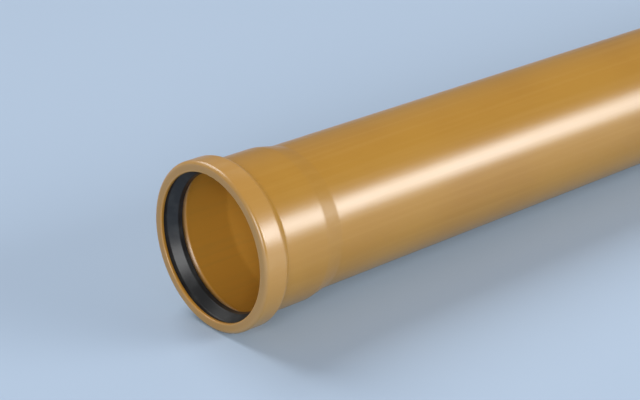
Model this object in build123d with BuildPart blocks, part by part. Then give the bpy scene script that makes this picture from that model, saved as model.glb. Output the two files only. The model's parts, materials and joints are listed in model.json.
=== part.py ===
# A sewer pipe of unplasticised PVC with a socket formed on one end and a spigot on the other.
#
# The pipe is one extruded tube. Its near end is widened into a socket, and the mouth of the
# socket swells into a bead that holds a rubber ring in a groove. The far end is the spigot,
# turned down to a slim chamfer so that it slides past the ring of the next pipe.
#
# It lies along X with the mouth towards -X. The bead is wider than the barrel, so on level
# ground the pipe rests on the bead and on the far end, and its axis dips towards the spigot.

import os
from math import atan2, cos, hypot, radians, sin, tan

from build123d import *

# Barrel, in millimetres
barrel_diameter = 110.0
barrel_wall = 3.2
laying_length = 1000.0

# Spigot end
spigot_chamfer_length = 6.0
spigot_chamfer_angle = 15.0

# Socket, with the room it leaves around a spigot
socket_clearance = 0.3
socket_wall = 2.9
socket_depth = 61.0
cone_length = 16.0

# Bead around the sealing groove, and the lip that closes it in front
groove_depth = 5.3
bead_length = 18.0
shoulder_length = 6.0
lip_thickness = 3.0
mouth_clearance = 0.6

# Roundings left by forming the hot tube, and by sawing and turning its ends
mouth_edge_round = 1.0
bead_front_round = 3.0
shoulder_round = 4.0
cone_round = 15.0
groove_corner_round = 1.2
groove_edge_round = 2.0
cut_edge_round = 0.3

# Rubber ring, drawn with its lip pressed back as a spigot would press it
seal_seat_gap = 0.2
seal_lip_clearance = 0.15
seal_nose_setback = 3.0
seal_crest_position = 10.8
seal_crest_drop = 1.6
seal_crest_round = 2.0
seal_crest_inset = 0.7
seal_hollow_depth = 3.6
seal_foot_setback = 1.6
seal_foot_width = 4.6
seal_edge_round = 0.6

# Radii that follow from the sizes above
barrel_radius = barrel_diameter / 2
bore_radius = barrel_radius - barrel_wall
socket_radius = barrel_radius + socket_clearance
socket_outer_radius = socket_radius + socket_wall
groove_radius = socket_radius + groove_depth
bead_radius = groove_radius + socket_wall
mouth_radius = barrel_radius + mouth_clearance
spigot_end_radius = barrel_radius - spigot_chamfer_length * tan(radians(spigot_chamfer_angle))

# Places along the axis, counted from the mouth
total_length = socket_depth + laying_length
cone_end = socket_depth + cone_length
chamfer_start = total_length - spigot_chamfer_length

# The bead's rear shoulder slopes alike outside and inside, one wall apart
shoulder_run = shoulder_length / groove_depth
shoulder_sine = groove_depth / hypot(groove_depth, shoulder_length)


def inside_shoulder(radius, gap=0.0):
    """Place along the axis where a line one wall and a gap inside the shoulder has this radius."""
    return bead_length + (bead_radius - radius) * shoulder_run - (socket_wall + gap) / shoulder_sine


# Lie of the axis: the bead's rear edge and the chamfer's start both touch the ground
dip = atan2(bead_radius - barrel_radius, chamfer_start - bead_length)
axis_direction = Vector(cos(dip), 0, -sin(dip))
mouth_height = bead_length * sin(dip) + bead_radius * cos(dip)
mouth_centre = Vector(-total_length * cos(dip) / 2, 0, mouth_height)
pipe_axis = Axis(mouth_centre, axis_direction)

# In this plane x runs along the axis from the mouth and y is the radius
section_plane = Plane(origin=mouth_centre, x_dir=axis_direction, z_dir=(0, -1, 0))

os.makedirs("parts", exist_ok=True)

# Pipe: the wall's section, outside from the mouth to the spigot and back along the bore
wall_corners = [
    ((0, mouth_radius), mouth_edge_round),
    ((0, bead_radius), bead_front_round),
    ((bead_length, bead_radius), shoulder_round),
    ((bead_length + shoulder_length, socket_outer_radius), shoulder_round),
    ((socket_depth, socket_outer_radius), cone_round),
    ((cone_end, barrel_radius), cone_round),
    ((chamfer_start, barrel_radius), cut_edge_round),
    ((total_length, spigot_end_radius), cut_edge_round),
    ((total_length, bore_radius), cut_edge_round),
    ((cone_end, bore_radius), cone_round),
    ((socket_depth, socket_radius), cone_round),
    ((inside_shoulder(socket_radius), socket_radius), groove_edge_round),
    ((inside_shoulder(groove_radius), groove_radius), groove_corner_round),
    ((lip_thickness, groove_radius), groove_corner_round),
    ((lip_thickness, mouth_radius), mouth_edge_round),
]
with BuildPart() as pipe:
    with BuildSketch(section_plane):
        with BuildLine():
            FilletPolyline(
                *[place for place, rounding in wall_corners],
                radius=[rounding for place, rounding in wall_corners],
                close=True,
            )
        make_face()
    revolve(axis=pipe_axis)
pipe.part.label = "pipe"
export_step(pipe.part, "parts/pipe.step")

# Seal ring: its back follows the groove, and its lip slopes in to a round crest with a hollow
# behind it. Rounding takes the inset off the crest's corner, which leaves the lip's clearance.
seal_front = lip_thickness + seal_seat_gap
seal_back_radius = groove_radius - seal_seat_gap
seal_crest_radius = socket_radius + seal_lip_clearance - seal_crest_inset
seal_nose_radius = mouth_radius + seal_nose_setback
seal_hollow_radius = seal_crest_radius + seal_hollow_depth
seal_foot_radius = socket_radius + seal_foot_setback
seal_foot_end = inside_shoulder(seal_foot_radius, seal_seat_gap)
seal_foot_start = seal_foot_end - seal_foot_width
seal_corners = [
    ((seal_front, seal_back_radius), groove_corner_round),
    ((seal_front, seal_nose_radius), seal_edge_round),
    ((seal_crest_position, seal_crest_radius), seal_crest_round),
    ((seal_crest_position + seal_crest_drop, seal_hollow_radius), seal_edge_round),
    ((seal_foot_start, seal_hollow_radius), seal_edge_round),
    ((seal_foot_start + seal_foot_setback, seal_foot_radius), seal_edge_round),
    ((seal_foot_end, seal_foot_radius), seal_edge_round),
    ((inside_shoulder(seal_back_radius, seal_seat_gap), seal_back_radius), groove_corner_round),
]
with BuildPart() as seal_ring:
    with BuildSketch(section_plane):
        with BuildLine():
            FilletPolyline(
                *[place for place, rounding in seal_corners],
                radius=[rounding for place, rounding in seal_corners],
                close=True,
            )
        make_face()
    revolve(axis=pipe_axis)
seal_ring.part.label = "seal_ring"
export_step(seal_ring.part, "parts/seal_ring.step")
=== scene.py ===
import json
from math import atan2, cos, hypot, radians, sin, tan, tau

import bmesh
import bpy
from mathutils import Matrix, Vector


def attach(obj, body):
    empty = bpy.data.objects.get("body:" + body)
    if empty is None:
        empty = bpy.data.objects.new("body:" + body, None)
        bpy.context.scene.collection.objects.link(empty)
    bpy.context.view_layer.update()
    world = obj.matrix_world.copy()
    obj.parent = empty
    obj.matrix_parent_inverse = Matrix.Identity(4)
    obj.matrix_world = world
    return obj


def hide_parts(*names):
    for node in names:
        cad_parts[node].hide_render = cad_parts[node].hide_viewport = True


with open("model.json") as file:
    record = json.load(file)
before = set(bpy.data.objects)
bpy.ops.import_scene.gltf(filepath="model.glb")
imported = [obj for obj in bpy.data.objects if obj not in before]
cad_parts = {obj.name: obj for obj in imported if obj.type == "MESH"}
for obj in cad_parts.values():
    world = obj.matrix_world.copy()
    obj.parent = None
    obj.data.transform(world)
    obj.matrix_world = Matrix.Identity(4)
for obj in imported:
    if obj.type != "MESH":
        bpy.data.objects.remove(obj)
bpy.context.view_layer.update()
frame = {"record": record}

# Pipe
# One tube of unplasticised PVC, extruded and cut to length. One end was heated and widened into the
# socket, with a bead around its sealing groove; the other was turned to a slim chamfer.
mounts = {mount["name"]: mount for mount in frame["record"]["mounts"]}
barrel_radius = mounts["barrel_outside"]["dims"]["r_mm"] / 1000
bore_radius = mounts["flow_bore"]["dims"]["r_mm"] / 1000
socket_radius = mounts["socket_bore"]["dims"]["r_mm"] / 1000
laying_length = 1.0
socket_depth = 0.061
socket_wall = 0.0029
cone_length = 0.016
groove_depth = 0.0053
bead_length = 0.018
shoulder_length = 0.006
mouth_lip_thickness = 0.003
mouth_radius = 0.0556
chamfer_length = 0.006
chamfer_angle = radians(15)
mouth_edge_round = 0.001
bead_front_round = 0.003
shoulder_round = 0.004
cone_round = 0.015
groove_corner_round = 0.0012
groove_edge_round = 0.002
cut_edge_round = 0.0003
arc_segments = 6
steps_around = 256
longest_strip = 0.02
same_place = 1e-6

total_length = socket_depth + laying_length
cone_end = socket_depth + cone_length
chamfer_start = total_length - chamfer_length
spigot_end_radius = barrel_radius - chamfer_length * tan(chamfer_angle)
socket_outer_radius = socket_radius + socket_wall
groove_radius = socket_radius + groove_depth
bead_radius = groove_radius + socket_wall
shoulder_sine = groove_depth / hypot(groove_depth, shoulder_length)


def inside_shoulder(radius, gap=0.0):
    """Distance behind the mouth where a line one wall and a gap inside the shoulder has this radius."""
    past_bead = (bead_radius - radius) * shoulder_length / groove_depth
    return bead_length + past_bead - (socket_wall + gap) / shoulder_sine


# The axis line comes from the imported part; x then runs along it from the middle of the mouth
axis_direction = Vector(mounts["barrel_outside"]["axis"]).normalized()
axis_point = Vector(mounts["barrel_outside"]["pos_m"])
dip = atan2(-axis_direction.z, axis_direction.x)
mouth_x = -total_length * cos(dip) / 2
mouth_centre = axis_point + axis_direction * (mouth_x - axis_point.x) / axis_direction.x
lie = Matrix.Translation(mouth_centre) @ Matrix.Rotation(dip, 4, "Y")


def turned(name, corners):
    """Ring turned about the pipe's axis from a section of (place along, radius, rounding) corners."""
    shape = bmesh.new()
    section = [shape.verts.new((along, 0, radius)) for along, radius, rounding in corners]
    shape.faces.new(section)
    points = [vert.co.copy() for vert in section]
    roundings = [rounding for along, radius, rounding in corners]

    # An arc of the given rounding starts and ends one tangent's length from its corner
    for index, vert in enumerate(section):
        arriving = points[index] - points[index - 1]
        leaving = points[(index + 1) % len(points)] - points[index]
        tangent = roundings[index] * tan(arriving.angle(leaving) / 2)
        bmesh.ops.bevel(
            shape,
            geom=[vert],
            affect="VERTICES",
            offset=tangent,
            offset_type="OFFSET",
            segments=arc_segments,
            profile=0.5,
            material=-1,
        )

    # Only the outline is spun, with its long runs cut into shorter strips
    bmesh.ops.delete(shape, geom=shape.faces[:], context="FACES_ONLY")
    for edge in shape.edges[:]:
        cuts = int(edge.calc_length() / longest_strip)
        if cuts:
            bmesh.ops.subdivide_edges(shape, edges=[edge], cuts=cuts)
    bmesh.ops.spin(
        shape,
        geom=shape.verts[:] + shape.edges[:],
        cent=(0, 0, 0),
        axis=(1, 0, 0),
        angle=tau,
        steps=steps_around,
        use_merge=True,
    )
    bmesh.ops.remove_doubles(shape, verts=shape.verts[:], dist=same_place)
    bmesh.ops.recalc_face_normals(shape, faces=shape.faces[:])
    bmesh.ops.transform(shape, matrix=lie, verts=shape.verts[:])
    for ring_face in shape.faces:
        ring_face.smooth = True

    mesh = bpy.data.meshes.new(name)
    shape.to_mesh(mesh)
    shape.free()
    piece = bpy.data.objects.new(name, mesh)
    bpy.context.scene.collection.objects.link(piece)
    even = piece.modifiers.new("even_shading", "WEIGHTED_NORMAL")
    even.mode = "FACE_AREA"
    even.weight = 100
    return piece


pipe = turned(
    "pvc_pipe",
    [
        (0, mouth_radius, mouth_edge_round),
        (0, bead_radius, bead_front_round),
        (bead_length, bead_radius, shoulder_round),
        (bead_length + shoulder_length, socket_outer_radius, shoulder_round),
        (socket_depth, socket_outer_radius, cone_round),
        (cone_end, barrel_radius, cone_round),
        (chamfer_start, barrel_radius, cut_edge_round),
        (total_length, spigot_end_radius, cut_edge_round),
        (total_length, bore_radius, cut_edge_round),
        (cone_end, bore_radius, cone_round),
        (socket_depth, socket_radius, cone_round),
        (inside_shoulder(socket_radius), socket_radius, groove_edge_round),
        (inside_shoulder(groove_radius), groove_radius, groove_corner_round),
        (mouth_lip_thickness, groove_radius, groove_corner_round),
        (mouth_lip_thickness, mouth_radius, mouth_edge_round),
    ],
)


class Shade:
    """A shader socket that is added, subtracted and multiplied like a number."""

    def __init__(self, tree, socket=None):
        self.tree = tree
        self.socket = socket

    def node(self, kind, settings, sockets, output=0):
        """Adds any node: its settings first, then the values or links of its sockets."""
        made = self.tree.nodes.new(kind)
        for key, value in settings.items():
            setattr(made, key, value)
        for key, value in sockets.items():
            if isinstance(value, Shade):
                self.tree.links.new(value.socket, made.inputs[key])
            else:
                made.inputs[key].default_value = value
        return Shade(self.tree, made.outputs[output])

    def maths(self, operation, first, second):
        """A Math node on two values."""
        return self.node("ShaderNodeMath", {"operation": operation}, {0: first, 1: second})

    def __add__(self, other):
        return self.maths("ADD", self, other)

    __radd__ = __add__

    def __sub__(self, other):
        return self.maths("SUBTRACT", self, other)

    def __rsub__(self, other):
        return self.maths("SUBTRACT", other, self)

    def __mul__(self, other):
        return self.maths("MULTIPLY", self, other)

    __rmul__ = __mul__

    def noise(self, stretch, scale, detail):
        """Noise on these coordinates, 0 to 1, stretched by a factor along each axis."""
        place = self.node(
            "ShaderNodeVectorMath", {"operation": "MULTIPLY"}, {0: self, 1: stretch}
        )
        return self.node(
            "ShaderNodeTexNoise", {}, {"Vector": place, "Scale": scale, "Detail": detail}
        )

    def ripple(self, pitch):
        """Wave from -1 to 1 with this pitch along the value."""
        return self.node("ShaderNodeMath", {"operation": "SINE"}, {0: self * (tau / pitch)})

    def ramp(self, low, high):
        """Rises from 0 to 1, smoothly, as this value goes from low to high."""
        return self.node(
            "ShaderNodeMapRange",
            {"interpolation_type": "SMOOTHSTEP"},
            {"Value": self, "From Min": low, "From Max": high},
        )

    def blend(self, first, second):
        """The first colour where this value is 0, the second where it is 1."""
        # A Mix node takes its colours in sockets 6 and 7 and gives the result in output 2
        return self.node(
            "ShaderNodeMix",
            {"data_type": "RGBA"},
            {"Factor": self, 6: first, 7: second},
            output=2,
        )


def material_along_pipe(name):
    """New material with its shader, and coordinates that run along the pipe's axis from the mouth."""
    material = bpy.data.materials.new(name)
    material.use_nodes = True
    shader = material.node_tree.nodes["Principled BSDF"]
    coordinates = Shade(material.node_tree).node("ShaderNodeTexCoord", {}, {}, output="Object")
    along_pipe = coordinates.node(
        "ShaderNodeMapping",
        {"vector_type": "TEXTURE"},
        {"Vector": coordinates, "Location": mouth_centre, "Rotation": (0, dip, 0)},
    )
    return material, shader, along_pipe


def wire_up(shader, color, roughness, height, strength, distance):
    """Joins the varying colour, roughness and surface height to a shader."""
    bump = height.node(
        "ShaderNodeBump", {}, {"Height": height, "Strength": strength, "Distance": distance}
    )
    for key, value in (("Base Color", color), ("Roughness", roughness), ("Normal", bump)):
        height.tree.links.new(value.socket, shader.inputs[key])


golden_brown = (0.495, 0.243, 0.024, 1)
deep_golden_brown = (0.450, 0.212, 0.019, 1)
pale_golden_brown = (0.540, 0.280, 0.045, 1)
# Paler brown for the bead and rim: partly stretched PVC, partly painted highlight
stretched_and_lit_brown = (0.600, 0.318, 0.085, 1)
scuffed_brown = (0.660, 0.430, 0.190, 1)
turned_brown = (0.600, 0.350, 0.110, 1)
# Painted light in the bore: a paler, warmer brown than the outside
bore_painted_light_brown = (0.640, 0.300, 0.038, 1)
streak_share = 0.3
bead_share = 0.42
rim_share = 0.35
turned_share = 0.8
scuff_share = 0.2
bead_fade = 0.001
rim_start = 0.0004
rim_end = 0.0022
cut_fade = 0.0002
wall_fade = 0.0005
turning_pitch = 0.0005

pvc, pvc_shader, along_pipe = material_along_pipe("pvc")
along = along_pipe.node("ShaderNodeSeparateXYZ", {}, {"Vector": along_pipe})
across = along_pipe.node(
    "ShaderNodeVectorMath", {"operation": "MULTIPLY"}, {0: along_pipe, 1: (0, 1, 1)}
)
radius = across.node("ShaderNodeVectorMath", {"operation": "LENGTH"}, {0: across}, output="Value")

# The bead and its rim are painted paler, partly as PVC stretched by forming and partly as painted
# highlight on their rounded fronts; turning left the spigot's end dull
bead = radius.ramp(socket_outer_radius + bead_fade, bead_radius - bead_fade)
rim = 1 - along.ramp(rim_start, rim_end)
turned_end = along.ramp(chamfer_start - cut_fade, chamfer_start + cut_fade)

# The inside, which lies within the middle of the wall, is painted paler and warmer: painted light in
# the bore
barrel_middle = (bore_radius + barrel_radius) / 2
socket_middle = (socket_radius + socket_outer_radius) / 2
widened = 1 - along.ramp(socket_depth, cone_end)
wall_middle = widened * (socket_middle - barrel_middle) + barrel_middle
inside = 1 - (radius - wall_middle).ramp(-wall_fade, wall_fade)

# Extrusion leaves faint streaks along the pipe, and handling rubs the bead and the spigot's end
clouds = along_pipe.noise(stretch=(1, 1, 1), scale=9, detail=3)
haze = along_pipe.noise(stretch=(0.3, 1, 1), scale=55, detail=4)
die_lines = along_pipe.noise(stretch=(0.02, 1, 1), scale=280, detail=1)
peel = along_pipe.noise(stretch=(0.6, 1, 1), scale=200, detail=1)
rubbed = (bead + turned_end).ramp(0.2, 1) * haze.ramp(0.5, 0.75)

outer_color = clouds.ramp(0.3, 0.7).blend(deep_golden_brown, golden_brown)
# Painted light: the bore takes a paler, warmer brown than the outside
body_color = inside.blend(outer_color, bore_painted_light_brown)
streaked = (die_lines.ramp(0.45, 0.75) * streak_share).blend(body_color, pale_golden_brown)
# Partly painted highlight: the bead and rim blend towards a paler brown
stretched_and_lit = (bead * bead_share + rim * rim_share).blend(streaked, stretched_and_lit_brown)
turned_color = (turned_end * turned_share).blend(stretched_and_lit, turned_brown)
pvc_color = (rubbed * scuff_share).blend(turned_color, scuffed_brown)
pvc_roughness = (
    0.275 + clouds * 0.03 + haze * 0.03 + die_lines * 0.02 + rubbed * 0.08 + turned_end * 0.2
)
turning_marks = turned_end * (along - radius).ripple(turning_pitch)
pvc_height = peel * 0.5 + die_lines * 0.35 + turning_marks * 0.25
wire_up(pvc_shader, pvc_color, pvc_roughness, pvc_height, strength=0.12, distance=0.0004)
pvc_shader.inputs["IOR"].default_value = 1.53
pvc_shader.inputs["Specular IOR Level"].default_value = 0.9
pipe.data.materials.append(pvc)
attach(pipe, "root")
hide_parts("pipe")

# Seal ring
# A ring of black rubber, moulded in one piece and pressed into the groove of the socket by hand. Its
# lip leans freely into the bore, until a spigot pushes it back into the hollow behind it.
seat_gap = 0.0002
nose_setback = 0.003
lip_start = 0.007
lip_start_setback = 0.002
crest_place = 0.013
crest_reach = 0.0029
crest_round = 0.002
tip_place = 0.0168
tip_reach = 0.0038
tip_thickness = 0.0018
tip_round = 0.0008
hollow_start = 0.0104
hollow_setback = 0.00305
foot_setback = 0.0016
foot_width = 0.0046
seal_edge_round = 0.0006

seal_front = mouth_lip_thickness + seat_gap
seal_back_radius = groove_radius - seat_gap
tip_radius = socket_radius - tip_reach
hollow_radius = socket_radius + hollow_setback
foot_radius = socket_radius + foot_setback
foot_end = inside_shoulder(foot_radius, seat_gap)
foot_start = foot_end - foot_width

seal = turned(
    "rubber_ring",
    [
        (seal_front, seal_back_radius, groove_corner_round),
        (seal_front, mouth_radius + nose_setback, seal_edge_round),
        (lip_start, mouth_radius + lip_start_setback, crest_round),
        (crest_place, socket_radius - crest_reach, crest_round),
        (tip_place, tip_radius, tip_round),
        (tip_place, tip_radius + tip_thickness, tip_round),
        (hollow_start, hollow_radius, seal_edge_round),
        (foot_start, hollow_radius, seal_edge_round),
        (foot_start + foot_setback, foot_radius, seal_edge_round),
        (foot_end, foot_radius, seal_edge_round),
        (inside_shoulder(seal_back_radius, seat_gap), seal_back_radius, groove_corner_round),
    ],
)

rubber_black = (0.016, 0.016, 0.0165, 1)
rubber_bloom = (0.045, 0.046, 0.044, 1)
rubber, rubber_shader, along_ring = material_along_pipe("rubber")
grain = along_ring.noise(stretch=(1, 1, 1), scale=1400, detail=3)
bloom = along_ring.noise(stretch=(1, 1, 1), scale=60, detail=4)
rubber_color = bloom.ramp(0.42, 0.72).blend(rubber_black, rubber_bloom)
rubber_roughness = 0.28 + bloom * 0.12 + grain * 0.08
wire_up(rubber_shader, rubber_color, rubber_roughness, grain, strength=0.15, distance=0.0002)
seal.data.materials.append(rubber)
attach(seal, "root")
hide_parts("seal_ring")

# Studio
# A pale seamless floor. One wide soft light shines from behind and above, one into the mouth, and a
# strip light stands along the pipe, where the barrel mirrors it as a long highlight.
floor_size = 40.0
pale_blue = (0.48, 0.60, 0.76, 1)
middle_blue = (0.16, 0.31, 0.54, 1)
sky_white = (0.90, 0.94, 1.0, 1)
sky_strength = 0.22

floor_mesh = bpy.data.meshes.new("floor")
floor_shape = bmesh.new()
bmesh.ops.create_grid(floor_shape, x_segments=1, y_segments=1, size=floor_size / 2)
floor_shape.to_mesh(floor_mesh)
floor_shape.free()
floor = bpy.data.objects.new("floor", floor_mesh)
bpy.context.scene.collection.objects.link(floor)
floor_material = bpy.data.materials.new("floor")
floor_material.use_nodes = True
floor_tree = floor_material.node_tree
floor_shader = floor_tree.nodes["Principled BSDF"]
floor_shader.inputs["Roughness"].default_value = 0.9

# It looks pale, straight on and in gloss, but throws little light back up at the pipe
paint = Shade(floor_tree)
seen = paint.node("ShaderNodeLightPath", {}, {}, output="Is Camera Ray")
for ray in ("Is Glossy Ray", "Is Transmission Ray"):
    seen = seen.maths("MAXIMUM", seen, paint.node("ShaderNodeLightPath", {}, {}, output=ray))
floor_tree.links.new(seen.blend(middle_blue, pale_blue).socket, floor_shader.inputs["Base Color"])
floor_mesh.materials.append(floor_material)


def put_light(name, lamp, place, aim):
    """Links a lamp at a place, facing the aimed point, with its width along the pipe."""
    facing = (Vector(place) - Vector(aim)).normalized()
    side = (axis_direction - facing * axis_direction.dot(facing)).normalized()
    light = bpy.data.objects.new(name, lamp)
    light.location = place
    light.rotation_euler = Matrix((side, facing.cross(side), facing)).transposed().to_euler()
    bpy.context.scene.collection.objects.link(light)


def wide_light(name, place, aim, strength, spread):
    """Light from far away that falls evenly on the whole floor."""
    lamp = bpy.data.lights.new(name, "SUN")
    lamp.energy = strength
    lamp.angle = spread
    put_light(name, lamp, place, aim)


wide_light("behind", place=(-0.3, 1.5, 1.8), aim=(-0.3, 0, 0.05), strength=1.7, spread=radians(40))
wide_light("mouth", place=(-2.0, -1.4, 0.9), aim=(-0.4, 0, 0.05), strength=1.55, spread=radians(30))
strip = bpy.data.lights.new("strip", "AREA")
strip.shape = "RECTANGLE"
strip.size = 4.1
strip.size_y = 1.6
strip.spread = radians(50)
strip.energy = 18.7
put_light("strip", strip, place=(2.35, -3.74, 1.65), aim=(-0.9, 0, 0.06))

world = bpy.data.worlds.new("studio")
world.use_nodes = True
sky = world.node_tree.nodes["Background"]
sky.inputs["Color"].default_value = sky_white
sky.inputs["Strength"].default_value = sky_strength
bpy.context.scene.world = world

# Camera
# It stands level, in front of the mouth and to its side, and looks down along the pipe. The mouth's
# middle lies this far to the right of, below and ahead of the lens.
view_heading = radians(48.46)
view_tilt = radians(24.1)
mouth_right = -0.0782
mouth_below = 0.0341
mouth_ahead = 1.2651
lens_pixels = 1800
image_pixels = 640
sensor_width = 36

ahead = Vector(
    (cos(view_tilt) * cos(view_heading), cos(view_tilt) * sin(view_heading), -sin(view_tilt))
)
right = Vector((sin(view_heading), -cos(view_heading), 0))
down = ahead.cross(right)
camera_data = bpy.data.cameras.new("camera")
camera_data.sensor_width = sensor_width
camera_data.lens = sensor_width * lens_pixels / image_pixels
camera = bpy.data.objects.new("camera", camera_data)
camera.location = mouth_centre - right * mouth_right - down * mouth_below - ahead * mouth_ahead
camera.rotation_euler = Matrix((right, -down, -ahead)).transposed().to_euler()
bpy.context.scene.collection.objects.link(camera)
bpy.context.scene.camera = camera
bpy.context.scene.view_settings.view_transform = "Standard"
